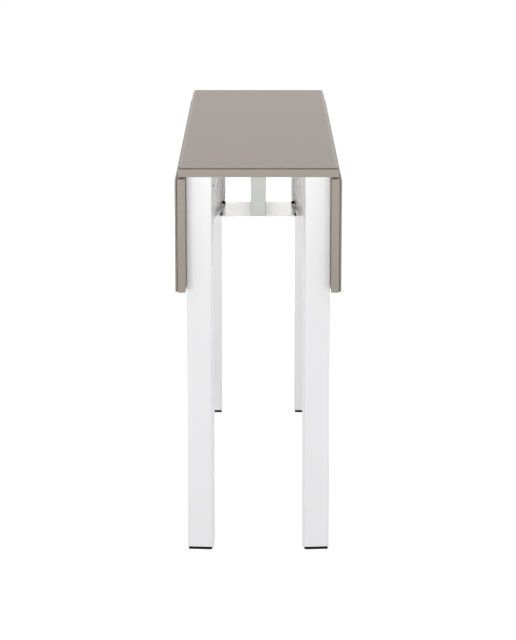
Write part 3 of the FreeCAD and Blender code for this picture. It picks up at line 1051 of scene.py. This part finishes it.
@dataclass
class LegBracket:
    """The folded sheet that ties a leg to the board and to the cross plate.

    Attributes:
        leg: The leg that it is bolted to.
        thickness: The sheet's thickness.
        length: The web's length from the leg.
        leg_flange: The width of the flange on the leg.
        bottom_flange: The width of the flange under the cross plate.
        bottom_start: That flange's distance from the leg.
        top_flange: The width of the flange under the board.
        back_flange: The width of the narrow flange at the far end.
        back_flange_rise: How far that flange starts above the bottom one.
        bend: The radius of the folds, at the middle of the sheet.
        relief: The notch left at the corners, where two folds would meet.
        slot_start: The slot's distance from the leg.
        slot_size: The slot's length and height.
        slot_width: The width of the slot's long arm.
        slot_mouth: The width of its short arm.
        slot_drop: The slot's distance below the board.
        edge: The softening of the sheet's edges.
    """

    leg: Leg
    thickness: float = 0.003
    length: float = 0.164
    leg_flange: float = 0.040
    bottom_flange: float = 0.034
    bottom_start: float = 0.040
    top_flange: float = 0.024
    back_flange: float = 0.005
    back_flange_rise: float = 0.012
    bend: float = 0.003
    relief: float = 0.004
    slot_start: float = 0.054
    slot_size: tuple[float, float] = (0.060, 0.018)
    slot_width: float = 0.008
    slot_mouth: float = 0.019
    slot_drop: float = 0.0245
    edge: float = 0.0004

    @property
    def stand(self) -> Matrix:
        """The bracket's place: its run goes from the leg to the middle of the table.

        Returns:
            The move from the origin.
        """
        side, end = self.leg.side.value, self.leg.end.value
        middle = self.leg.stand.to_translation()
        corner = Matrix.Translation((abs(middle.x), abs(middle.y), 0.0))
        mirror = Matrix.Diagonal((side, end, 1.0, 1.0))
        return mirror @ corner @ Matrix.Rotation(math.pi - self.leg.turn, 4, "Z")

    def build(self) -> None:
        """Cuts the web and its slot, folds the flanges and gives the sheet its thickness."""
        node = self.leg.name + "_leg_bracket"
        low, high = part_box(node)
        half_leg = self.leg.size / 2
        half_sheet = self.thickness / 2
        across = half_leg - half_sheet
        runs = (half_leg + half_sheet, half_leg + self.length - half_sheet)
        levels = (low.z + half_sheet, high.z - half_sheet)
        blank = Blank()
        bmesh.ops.create_grid(blank.bm, x_segments=1, y_segments=1, size=0.5)
        blank.place(Matrix.Rotation(math.pi / 2, 4, "Y"))
        blank.place(Matrix.Diagonal((1.0, runs[1] - runs[0], levels[1] - levels[0], 1.0)))
        blank.place(Matrix.Translation((across, sum(runs) / 2, sum(levels) / 2)))
        self.cut_slot(blank, half_leg + self.slot_start, high.z - self.slot_drop)
        self.fold_flanges(blank, runs, levels)
        blank.place(self.stand)
        name = self.leg.name + "_folded_bracket"
        blank.piece(name, FRAME_BODY, (GLOSS_COAT,), [node], sheet=self.thickness, edge=self.edge)

    def cut_slot(self, blank: Blank, start: float, top: float) -> None:
        """Cuts the angled slot out of the web.

        Args:
            blank: The web.
            start: Where the slot starts along the web.
            top: The height of the slot's upper edge.
        """
        long, tall = self.slot_size
        for run in (start, start + self.slot_mouth, start + long):
            blank.cut(Y, run)
        for level in (top, top - self.slot_width, top - tall):
            blank.cut(Z, level)
        slot = []
        for face in blank.bm.faces:
            middle = face.calc_center_median()
            along, under = middle.y - start, top - middle.z
            in_long = 0 < along < long and 0 < under < self.slot_width
            in_tall = 0 < along < self.slot_mouth and 0 < under < tall
            if in_long or in_tall:
                slot.append(face)
        bmesh.ops.delete(blank.bm, geom=slot, context="FACES")

    def fold_flanges(self, blank: Blank, runs: tuple[float, float], levels: tuple[float, float]) -> None:
        """Folds the four flanges and rounds their bends.

        Args:
            blank: The web.
            runs: Where the web starts and ends.
            levels: Its lower and upper edge.
        """
        inner_runs = (runs[0] + self.relief, runs[1] - self.relief)
        inner_levels = (levels[0] + self.relief, levels[1] - self.relief)
        back_start = levels[0] + self.back_flange_rise
        bottom_start = runs[0] - self.thickness / 2 + self.bottom_start
        for run in (*inner_runs, bottom_start):
            blank.cut(Y, run)
        for level in (*inner_levels, back_start):
            blank.cut(Z, level)
        half_sheet = self.thickness / 2
        flanges = (
            (Z, levels[0], Y, (bottom_start, inner_runs[1]), self.bottom_flange + half_sheet),
            (Z, levels[1], Y, inner_runs, self.top_flange + half_sheet),
            (Y, runs[0], Z, inner_levels, half_sheet - self.leg_flange),
            (Y, runs[1], Z, (back_start, inner_levels[1]), self.back_flange + half_sheet),
        )
        folds = []
        for axis, level, along, (first, last), reach in flanges:
            fold = [
                edge for edge in blank.edges_at(axis, level)
                if all(first - TOUCH < vert.co[along] < last + TOUCH for vert in edge.verts)
            ]
            folds.append((fold, reach))
        for fold, reach in folds:
            blank.fold(fold, AXES[X] * reach)
        blank.round_edges([edge for fold, _ in folds for edge in fold], self.bend, FOLD_FLATS)


@dataclass
class CrossPlate:
    """The flat plate between two brackets that carries an end of the beam.

    Attributes:
        end: The end of the table that it is near.
        corner_radius: The radius of its four corners.
        edge: The softening of its edges.
    """

    end: End
    corner_radius: float = 0.0015
    edge: float = 0.0005

    def build(self) -> None:
        """Builds the plate with its rounded corners."""
        node = self.end.word + "_cross_plate"
        low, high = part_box(node)
        blank = Blank.block(low, high)
        blank.round_edges(blank.edges_along(Z), self.corner_radius, FOLD_FLATS)
        blank.round_edges(blank.edges_at(Z, low.z, high.z), self.edge, EDGE_FLATS)
        blank.piece(self.end.word + "_flat_plate", FRAME_BODY, (GLOSS_COAT,), [node])


@dataclass
class Beam:
    """The beam under the middle of the board, with its end caps and the cleats that hold it.

    Attributes:
        wall: The wall of its tube.
        corner_radius: The radius of its four long edges.
        cap_radius: The rounding of the caps' faces.
        cap_insert: How far the caps' spigots stand in from the beam's faces.
        cleat_thickness: The sheet that the cleats are folded from.
        cleat_bend: The radius of their fold.
        edge: The softening of the cleats' edges.
    """

    wall: float = 0.002
    corner_radius: float = 0.002
    cap_radius: float = 0.0024
    cap_insert: float = 0.0021
    cleat_thickness: float = 0.002
    cleat_bend: float = 0.002
    edge: float = 0.0003

    def build(self) -> None:
        """Builds the tube, its two caps and the cleats."""
        self.build_tube()
        for end in End:
            self.build_cap(end)
        self.build_cleats()

    def build_tube(self) -> None:
        """Builds the steel tube."""
        low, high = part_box("centre_beam")
        tube = Blank.block(low, high)
        tube.round_edges(tube.edges_along(Y), self.corner_radius, FOLD_FLATS)
        tube.hollow(Y, (low.y, high.y), self.wall)
        tube.piece("beam_tube", FRAME_BODY, (POWDER_COAT,), ["centre_beam"])

    def build_cap(self, end: End) -> None:
        """Builds a cap with a rounded face and a spigot in the tube.

        Args:
            end: The end of the table that it is near.
        """
        node = end.word + "_beam_cap"
        low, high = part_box(node)
        tip, face = (low.y, high.y)[::end.value]
        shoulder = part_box("centre_beam")[end is End.BACK].y
        cap = Blank.block((low.x, face, low.z), (high.x, shoulder, high.z))
        cap.round_edges(cap.edges_along(Y), self.corner_radius, FOLD_FLATS)
        cap.round_edges(cap.edges_at(Y, face), self.cap_radius, CAP_FLATS)
        root = cap.faces_at(Y, shoulder)
        cap.inset(root, self.cap_insert)
        cap.push(root, AXES[Y] * (tip - shoulder))
        cap.piece(end.word + "_moulded_cap", FRAME_BODY, (GREY_PLASTIC,), [node])

    def build_cleats(self) -> None:
        """Folds an angle cleat at each place along the beam."""
        blank = Blank()
        half = self.cleat_thickness / 2
        for points in solids_of("beam_cleats"):
            low, high = box_of(points)
            outward = 1.0 if low.x > 0 else -1.0
            inner, outer = sorted((low.x, high.x), key=abs)
            across = inner + outward * half
            top = high.z - half
            outline = ((low.y, low.z), (high.y, low.z), (high.y, top), (low.y, top))
            upright = [blank.bm.verts.new((across, run, level)) for run, level in outline]
            face = blank.bm.faces.new(upright)
            fold = [edge for edge in face.edges if lies_at(edge, Z, top)]
            blank.fold(fold, AXES[X] * (outer - across))
            blank.round_edges(fold, self.cleat_bend, FOLD_FLATS)
        blank.piece(
            "angle_cleats", FRAME_BODY, (ZINC_STEEL,), ["beam_cleats"],
            sheet=self.cleat_thickness, edge=self.edge,
        )


@dataclass
class HingeLine:
    """The three concealed hinges between the top and one leaf.

    Attributes:
        side: The side of the table that they are on.
        base_thickness: The plate that is screwed under the board.
        plate_radius: The radius of that plate's corners.
        cheek_length: The length of each of the two cheeks.
        cheek_radius: The rounding of the cheeks over the pin.
        knuckle_radius: The radius of the arm's knuckle.
        tongue_angle: How far round from its lowest line the knuckle runs out into the tongue.
        edge: The softening of the edges.
    """

    side: Side
    base_thickness: float = 0.002
    plate_radius: float = 0.003
    cheek_length: float = 0.008
    cheek_radius: float = 0.0045
    knuckle_radius: float = 0.005
    tongue_angle: float = math.radians(20.0)
    edge: float = 0.0004

    def build(self) -> None:
        """Builds the body and the arm of each hinge."""
        for place in ("front", "middle", "back"):
            self.build_body(f"{self.side.word}_{place}_hinge_body")
            self.build_arm(f"{self.side.word}_{place}_hinge_arm")

    def build_body(self, node: str) -> None:
        """Builds the plate under the board and the two cheeks that hold the pin.

        Args:
            node: The CAD node that it stands for.
        """
        low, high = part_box(node)
        far, outer = (low.x, high.x)[::self.side.value]
        wall = outer - self.side.value * (2 * self.knuckle_radius + self.edge)
        blank = Blank.block((far, low.y, low.z), (wall, high.y, low.z + self.base_thickness))
        corners = [edge for edge in blank.edges_along(Z) if lies_at(edge, X, far)]
        blank.round_edges(corners, self.plate_radius, FOLD_FLATS)
        for start in (low.y, high.y - self.cheek_length):
            cheek = Blank.block((wall, start, low.z), (outer, start + self.cheek_length, high.z))
            ears = [edge for edge in cheek.edges_along(Y) if lies_at(edge, X, outer)]
            cheek.round_edges(ears, self.cheek_radius, CORNER_FLATS)
            blank.stamp(cheek.pattern(node + "_cheek"), Matrix.Identity(4))
        blank.piece(node + "_plate", FRAME_BODY, (ZINC_STEEL,), [node], edge=self.edge)

    def build_arm(self, node: str) -> None:
        """Builds the knuckle on the pin with its tongue, which goes down into the leaf.

        Args:
            node: The CAD node that it stands for.
        """
        low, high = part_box(node)
        axle = Vector(((low.x + high.x) / 2, low.y, high.z - self.knuckle_radius))
        blank = Blank()
        blank.rod(axle, Vector((axle.x, high.y, axle.z)), self.knuckle_radius, ROD_FLATS)
        turn = Matrix.Rotation(math.pi / ROD_FLATS, 4, "Y")
        blank.place(Matrix.Translation(axle) @ turn @ Matrix.Translation(-axle))
        steepest = -math.cos(self.tongue_angle)
        under = [face for face in blank.bm.faces if face.normal.z < steepest]
        for vert in blank.push(under, Vector()):
            vert.co.z = low.z
        body = self.side.word + "_leaf"
        blank.piece(node + "_knuckle", body, (ZINC_STEEL,), [node], edge=self.edge)


@dataclass
class HingePins:
    """The six pins of the hinges, with rounded ends.

    Attributes:
        end_radius: The rounding of a pin's ends.
    """

    end_radius: float = 0.0006

    def build(self) -> None:
        """Builds every pin where the CAD pins lie."""
        blank = Blank()
        for points in solids_of("hinge_pins"):
            low, high = box_of(points)
            middle = (low + high) / 2
            start, finish = (Vector((middle.x, run, middle.z)) for run in (low.y, high.y))
            blank.rod(start, finish, (high.z - low.z) / 2, ROD_FLATS)
        blank.piece("pins", FRAME_BODY, (ZINC_STEEL,), ["hinge_pins"], edge=self.end_radius)


@dataclass
class SwivelStay:
    """One steel stay, which swings out from under the top to carry a raised leaf.

    Attributes:
        side: The side of the table that it is on.
        end: The end of the table that it is near.
        pivot_radius: The radius of the hole at its pivot.
        finger_radius: The radius of the finger hole at its tip.
        edge: The softening of its edges.
        hole_flats: The number of flats round a hole.
    """

    side: Side
    end: End
    pivot_radius: float = 0.00305
    finger_radius: float = 0.007
    edge: float = 0.0005
    hole_flats: int = 40

    def build(self) -> None:
        """Cuts the blade with its two holes and rounds its ends."""
        name = f"{self.side.word}_{self.end.word}"
        low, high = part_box(name + "_stay")
        radius = (high.x - low.x) / 2
        middle = (low + high) / 2
        joint = next(j for j in frame["joints"] if j["name"] == name + "_stay_swivel")
        rounds = (low.y + radius, high.y - radius)
        pivot, finger = joint["pos_m"][Y], rounds[self.end is End.FRONT]
        blank = Blank()
        for run in rounds:
            blank.circle(radius, self.hole_flats * 2, (middle.x, run, low.z))
        self.trim_to_slot(blank, *rounds)
        for run, hole in ((pivot, self.pivot_radius), (finger, self.finger_radius)):
            blank.circle(hole, self.hole_flats, (middle.x, run, low.z))
        bmesh.ops.triangle_fill(blank.bm, use_beauty=True, use_dissolve=True, edges=blank.bm.edges)
        blank.push(blank.bm.faces[:], UP * (high.z - low.z))
        nodes = [name + "_stay"]
        blank.piece(name + "_stay_blade", name + "_stay_arm", (BRIGHT_STEEL,), nodes, edge=self.edge)

    def trim_to_slot(self, blank: Blank, first: float, last: float) -> None:
        """Turns two circles into one outline with two round ends.

        Args:
            blank: The two circles.
            first: Where the nearer circle's middle lies.
            last: Where the farther circle's middle lies.
        """
        inside = [v for v in blank.bm.verts if first + TOUCH < v.co.y < last - TOUCH]
        bmesh.ops.delete(blank.bm, geom=inside, context="VERTS")
        loose = [v for v in blank.bm.verts if len(v.link_edges) == 1]
        middle = (first + last) / 2
        for vert in [v for v in loose if v.co.y < middle]:
            across = [v for v in loose if v.co.y > middle]
            partner = min(across, key=lambda v: abs(v.co.x - vert.co.x))
            blank.bm.edges.new((vert, partner))


@dataclass
class Fastener:
    """One screw or bolt, drawn from the middle of its head's face, driving in along Z.

    Attributes:
        head_radius: The radius of the head.
        head_height: The height of the head.
        shank_radius: The radius of the shank.
        length: The whole length, head and shank.
        drive: What turns it.
        point: How its shank ends.
        face_share: The flat middle of the head, as a share of its radius.
        drive_share: The reach of the drive, as a share of the head's radius.
        cross_width: The width of a cross drive's arms, as a share of the head's radius.
        drive_depth: The depth of the drive, as a share of the head's height.
        dome_steps: The rings across the head's dome.
        point_length: The length of a sharp point.
        point_share: The radius of its tip, as a share of the shank's.
    """

    head_radius: float
    head_height: float
    shank_radius: float
    length: float
    drive: Drive
    point: Point
    face_share: float = 0.72
    drive_share: float = 0.55
    cross_width: float = 0.2
    drive_depth: float = 0.7
    dome_steps: int = 4
    point_length: float = 0.003
    point_share: float = 0.2

    def pattern(self, name: str) -> bpy.types.Mesh:
        """Builds the mesh that the copies are stamped from.

        Args:
            name: The mesh's name.

        Returns:
            The mesh.
        """
        blank = Blank()
        recess = self.draw_drive(blank)
        drawn = [edge for edge in blank.bm.edges if edge.is_boundary]
        face_radius = self.head_radius * self.face_share
        ring = blank.circle(face_radius, ROD_FLATS)
        rim = list(dict.fromkeys(edge for vert in ring for edge in vert.link_edges))
        bmesh.ops.bridge_loops(blank.bm, edges=[*drawn, *rim])
        blank.push(recess, UP * self.head_height * self.drive_depth)
        for step in range(1, self.dome_steps + 1):
            angle = math.pi / 2 * step / self.dome_steps
            radius = face_radius + (self.head_radius - face_radius) * math.sin(angle)
            rim = self.ring(blank, rim, radius, self.head_height * (1 - math.cos(angle)))
        rim = self.ring(blank, rim, self.shank_radius, self.head_height)
        straight = self.length - (self.point_length if self.point is Point.SHARP else 0.0)
        rim = self.ring(blank, rim, self.shank_radius, straight)
        if self.point is Point.SHARP:
            rim = self.ring(blank, rim, self.shank_radius * self.point_share, self.length)
        bmesh.ops.holes_fill(blank.bm, edges=rim, sides=0)
        return blank.pattern(name)

    def draw_drive(self, blank: Blank) -> list[BMFace]:
        """Draws the outline of the drive on the head's face.

        Args:
            blank: An empty blank.

        Returns:
            The faces inside the outline.
        """
        reach = self.head_radius * self.drive_share
        if self.drive is Drive.HEX:
            bmesh.ops.create_circle(blank.bm, cap_ends=True, segments=HEX_FLATS, radius=reach)
            return blank.bm.faces[:]
        half = self.head_radius * self.cross_width / 2
        bmesh.ops.create_grid(blank.bm, x_segments=1, y_segments=1, size=half)
        for edge in blank.bm.edges[:]:
            middle = (edge.verts[0].co + edge.verts[1].co) / 2
            blank.fold([edge], middle.normalized() * (reach - half))
        return blank.bm.faces[:]

    def ring(self, blank: Blank, rim: Sequence[BMEdge], radius: float, level: float) -> list[BMEdge]:
        """Carries the surface on to a new ring.

        Args:
            blank: The fastener so far.
            rim: Its open edge.
            radius: The new ring's radius.
            level: The new ring's height.

        Returns:
            The new open edge.
        """
        made = bmesh.ops.extrude_edge_only(blank.bm, edges=list(rim))["geom"]
        for vert in made:
            if isinstance(vert, BMVert):
                flat = vert.co.xy.normalized() * radius
                vert.co = (flat.x, flat.y, level)
        return [edge for edge in made if isinstance(edge, BMEdge)]


@dataclass
class Nut:
    """A plain hexagon nut, drawn from the middle of one face along Z.

    Attributes:
        radius: The distance from the middle to its corners.
        bore: The radius of its hole.
        height: Its height.
    """

    radius: float
    bore: float
    height: float

    def pattern(self, name: str) -> bpy.types.Mesh:
        """Builds the mesh that the copies are stamped from.

        Args:
            name: The mesh's name.

        Returns:
            The mesh.
        """
        blank = Blank()
        blank.circle(self.radius, HEX_FLATS)
        blank.circle(self.bore, ROD_FLATS)
        bmesh.ops.bridge_loops(blank.bm, edges=blank.bm.edges)
        blank.push(blank.bm.faces[:], UP * self.height)
        return blank.pattern(name)


Direction = Callable[[Vector, Vector], Vector]


def upwards(low: Vector, high: Vector) -> Vector:
    """Drives straight up."""
    return UP


def into_the_beam(low: Vector, high: Vector) -> Vector:
    """Drives a cleat's screw up into the board, or sideways into the beam where it lies flat."""
    lies_flat = high.x - low.x > high.z - low.z
    return AXES[X] * -math.copysign(1.0, low.x) if lies_flat else UP


def outwards(low: Vector, high: Vector) -> Vector:
    """Drives away from the middle of the table."""
    return AXES[X] * math.copysign(1.0, low.x)


def into_the_leg(low: Vector, high: Vector) -> Vector:
    """Drives towards the end of the table, turned as the legs are."""
    turn = Leg.turn
    return Vector((math.copysign(math.sin(turn), low.x), math.copysign(math.cos(turn), low.y), 0.0))


@dataclass
class FastenerSet:
    """All the fasteners of one CAD node, each at its place.

    Attributes:
        node: The CAD node that they stand for.
        body: The body that they move with.
        drive: What turns them.
        point: How their shanks end.
        direction: The way that each is driven, from its lowest and highest corner.
        head_height: The height of their heads.
        shank_radius: The radius of their shanks.
        edge: The softening of their edges.
        edge_flats: The number of flats across those edges.
        nut_height: The height of the nuts, where the node has any.
    """

    node: str
    body: str
    drive: Drive
    point: Point
    direction: Direction
    head_height: float
    shank_radius: float
    edge: float = 0.00015
    edge_flats: int = 1
    nut_height: float = 0.004

    def build(self) -> None:
        """Measures each CAD fastener and stamps a modelled one over it."""
        blank = Blank()
        for points in solids_of(self.node):
            way = self.direction(*box_of(points))
            depths = [point.dot(way) for point in points]
            start, length = min(depths), max(depths) - min(depths)
            face = [point for point, depth in zip(points, depths) if depth < start + TOUCH]
            middle = sum(face, Vector()) / len(face)
            radius = max((point - middle).length for point in face)
            turned = UP.rotation_difference(way).to_matrix().to_4x4()
            place = Matrix.Translation(middle) @ turned
            blank.stamp(self.form(radius, length).pattern(self.node + "_form"), place)
        name = self.node.replace("screws", "driven_screws").replace("bolts", "socket_bolts")
        blank.piece(
            name, self.body, (ZINC_STEEL,), [self.node], edge=self.edge, edge_flats=self.edge_flats
        )

    def form(self, radius: float, length: float) -> Fastener | Nut:
        """Picks a nut for a short ring, and a screw or bolt otherwise.

        Args:
            radius: The radius of the solid's first face.
            length: Its length.

        Returns:
            The form to stamp.
        """
        if abs(length - self.nut_height) < TOUCH:
            return Nut(radius, self.shank_radius, length)
        return Fastener(radius, self.head_height, self.shank_radius, length, self.drive, self.point)


@dataclass(frozen=True)
class Lamp:
    """A soft rectangular lamp of the studio.

    Attributes:
        name: The lamp's name.
        place: Where it hangs.
        target: What it points at.
        size: Its width and height.
        power: Its power in watts.
        spread: The angle of the cone that it shines into, in degrees.
    """

    name: str
    place: tuple[float, float, float]
    target: tuple[float, float, float]
    size: tuple[float, float]
    power: float
    spread: float = 180.0

    def hang(self) -> None:
        """Hangs the lamp out of the camera's sight."""
        data = bpy.data.lights.new(self.name, "AREA")
        data.shape = "RECTANGLE"
        data.size, data.size_y = self.size
        data.energy = self.power
        data.spread = math.radians(self.spread)
        lamp = bpy.data.objects.new(self.name, data)
        lamp.location = self.place
        aim = Vector(self.target) - Vector(self.place)
        lamp.rotation_euler = aim.to_track_quat("-Z", "Y").to_euler()
        lamp.visible_camera = False
        bpy.context.scene.collection.objects.link(lamp)
        LOG.info("hung %s", self.name)


LAMPS = (
    Lamp("left_lamp", (-1.9, -6.4, 0.6), (0.0, -0.5, 0.75), (1.8, 1.4), 9.5, 60.0),
    Lamp("right_lamp", (1.9, -6.4, 0.6), (0.0, -0.5, 0.75), (1.8, 1.4), 5.5, 60.0),
    Lamp("top_lamp", (0.0, -0.3, 4.0), (0.0, 0.0, 0.7), (3.0, 3.0), 31.0),
    Lamp("back_lamp", (0.4, 3.2, 1.25), (0.0, 0.5, 0.6), (3.6, 1.0), 10.0),
    Lamp("low_lamp", (0.0, -1.8, 0.2), (0.0, -0.5, 0.8), (1.8, 0.25), 0.28, 24.0),
    Lamp("under_lamp", (0.0, 0.0, 0.02), (0.0, 0.0, 0.7), (0.45, 0.7), 1.5, 70.0),
    Lamp("left_web_lamp", (-0.32, 0.0, 0.02), (0.1, 0.0, 0.68), (1.2, 0.12), 0.42, 40.0),
    Lamp("right_web_lamp", (0.32, 0.0, 0.02), (-0.1, 0.0, 0.68), (1.2, 0.12), 0.42, 40.0),
)


@dataclass
class Studio:
    """The plain pale floor, the soft light and the camera.

    Attributes:
        camera_place: Where the camera stands.
        camera_tilt: How far it looks down, in degrees.
        lens: Its lens in millimetres.
        sensor: The width of its sensor in millimetres.
        floor_reach: Half the floor's width.
        floor_colour: The floor's own colour.
        floor_glow: What the floor adds on its own where it is looked at, so that it reads as white.
        ambient: The strength of the light from all round.
    """

    camera_place: tuple[float, float, float] = (-0.0007, -5.278, 1.4538)
    camera_tilt: float = 11.998
    lens: float = 143.17
    sensor: float = 36.0
    floor_reach: float = 30.0
    floor_colour: Colour = (0.8, 0.8, 0.8)
    floor_glow: float = 0.58
    ambient: float = 0.57

    def build(self) -> None:
        """Sets up everything that isn't the table."""
        bpy.context.scene.view_settings.view_transform = "Standard"
        self.build_world()
        self.build_floor()
        self.build_camera()
        for lamp in LAMPS:
            lamp.hang()

    def looked_at(self, graph: ShaderGraph) -> Signal:
        """Gives 1 on the rays by which the camera, a mirror or a glass sees the background.

        Args:
            graph: The graph of the floor or of the world.

        Returns:
            The mask.
        """
        camera = graph.node("ShaderNodeLightPath", output="Is Camera Ray")
        glossy = graph.node("ShaderNodeLightPath", output="Is Glossy Ray")
        through = graph.node("ShaderNodeLightPath", output="Is Transmission Ray")
        return camera | glossy | through

    def build_world(self) -> None:
        """Makes the background white to look at, and a softer light from all round."""
        world = bpy.data.worlds.new("studio")
        bpy.context.scene.world = world
        graph = ShaderGraph(world)
        strength = self.ambient + self.looked_at(graph) * (1.0 - self.ambient)
        white = {"Color": (1.0, 1.0, 1.0), "Strength": strength}
        graph.end(graph.node("ShaderNodeBackground", inputs=white), "ShaderNodeOutputWorld")

    def build_floor(self) -> None:
        """Lays the pale floor, which keeps the table's shadow."""
        material = bpy.data.materials.new("pale_floor")
        graph = ShaderGraph(material)
        pale = graph.node("ShaderNodeBsdfDiffuse", inputs={"Color": self.floor_colour})
        glow_inputs = {"Color": (1.0, 1.0, 1.0), "Strength": self.looked_at(graph) * self.floor_glow}
        glow = graph.node("ShaderNodeEmission", inputs=glow_inputs)
        graph.end(graph.node("ShaderNodeAddShader", inputs={0: pale, 1: glow}))
        bm = bmesh.new()
        bmesh.ops.create_grid(bm, x_segments=1, y_segments=1, size=self.floor_reach)
        mesh = bpy.data.meshes.new("floor")
        bm.to_mesh(mesh)
        bm.free()
        mesh.materials.append(material)
        floor = bpy.data.objects.new("floor", mesh)
        bpy.context.scene.collection.objects.link(floor)

    def build_camera(self) -> None:
        """Stands the camera at the photograph's view."""
        data = bpy.data.cameras.new("camera")
        data.lens = self.lens
        data.sensor_width = self.sensor
        camera = bpy.data.objects.new("camera", data)
        camera.location = self.camera_place
        camera.rotation_euler = (math.radians(90.0 - self.camera_tilt), 0.0, 0.0)
        bpy.context.scene.collection.objects.link(camera)
        bpy.context.scene.camera = camera


def fastener_sets() -> list[FastenerSet]:
    """Lists the table's fasteners, group by group.

    Returns:
        The groups.
    """
    wood = {"drive": Drive.CROSS, "point": Point.SHARP, "head_height": 0.0018, "shank_radius": 0.002}
    stay = {"drive": Drive.CROSS, "point": Point.SHARP, "head_height": 0.0025, "shank_radius": 0.003}
    bolt = {"drive": Drive.HEX, "point": Point.BLUNT, "head_height": 0.0033, "shank_radius": 0.003}
    kinds = (
        ("cleat_screws", into_the_beam, wood),
        ("bracket_screws", upwards, wood),
        ("hinge_body_screws", upwards, wood),
        ("plate_bolts", upwards, bolt),
        ("beam_bolts", upwards, bolt),
        ("leg_bolts", into_the_leg, bolt),
        ("stay_screws", upwards, stay),
    )
    groups = [FastenerSet(node, FRAME_BODY, direction=way, **kind) for node, way, kind in kinds]
    for side in Side:
        body = side.word + "_leaf"
        groups.append(FastenerSet(side.word + "_hinge_arm_screws", body, direction=outwards, **wood))
    return groups


def main() -> None:
    """Builds the table piece by piece, then the studio round it."""
    logging.basicConfig(level=logging.INFO, format="%(message)s")
    GlazedBoard("top", FRAME_BODY, Facing.UP, backed=True).build()
    Beam().build()
    for end in End:
        CrossPlate(end).build()
    for side in Side:
        leaf = side.word + "_leaf"
        GlazedBoard(leaf, leaf, Facing[side.name]).build()
        HingeLine(side).build()
        for end in End:
            leg = Leg(side, end)
            leg.build()
            LegBracket(leg).build()
            SwivelStay(side, end).build()
    HingePins().build()
    for group in fastener_sets():
        group.build()
    dress(BLACK_PLASTIC, "bracket_spacers", "stay_washers")
    dress(ZINC_STEEL, "stay_stops")
    Studio().build()


if __name__ == "__main__":
    main()
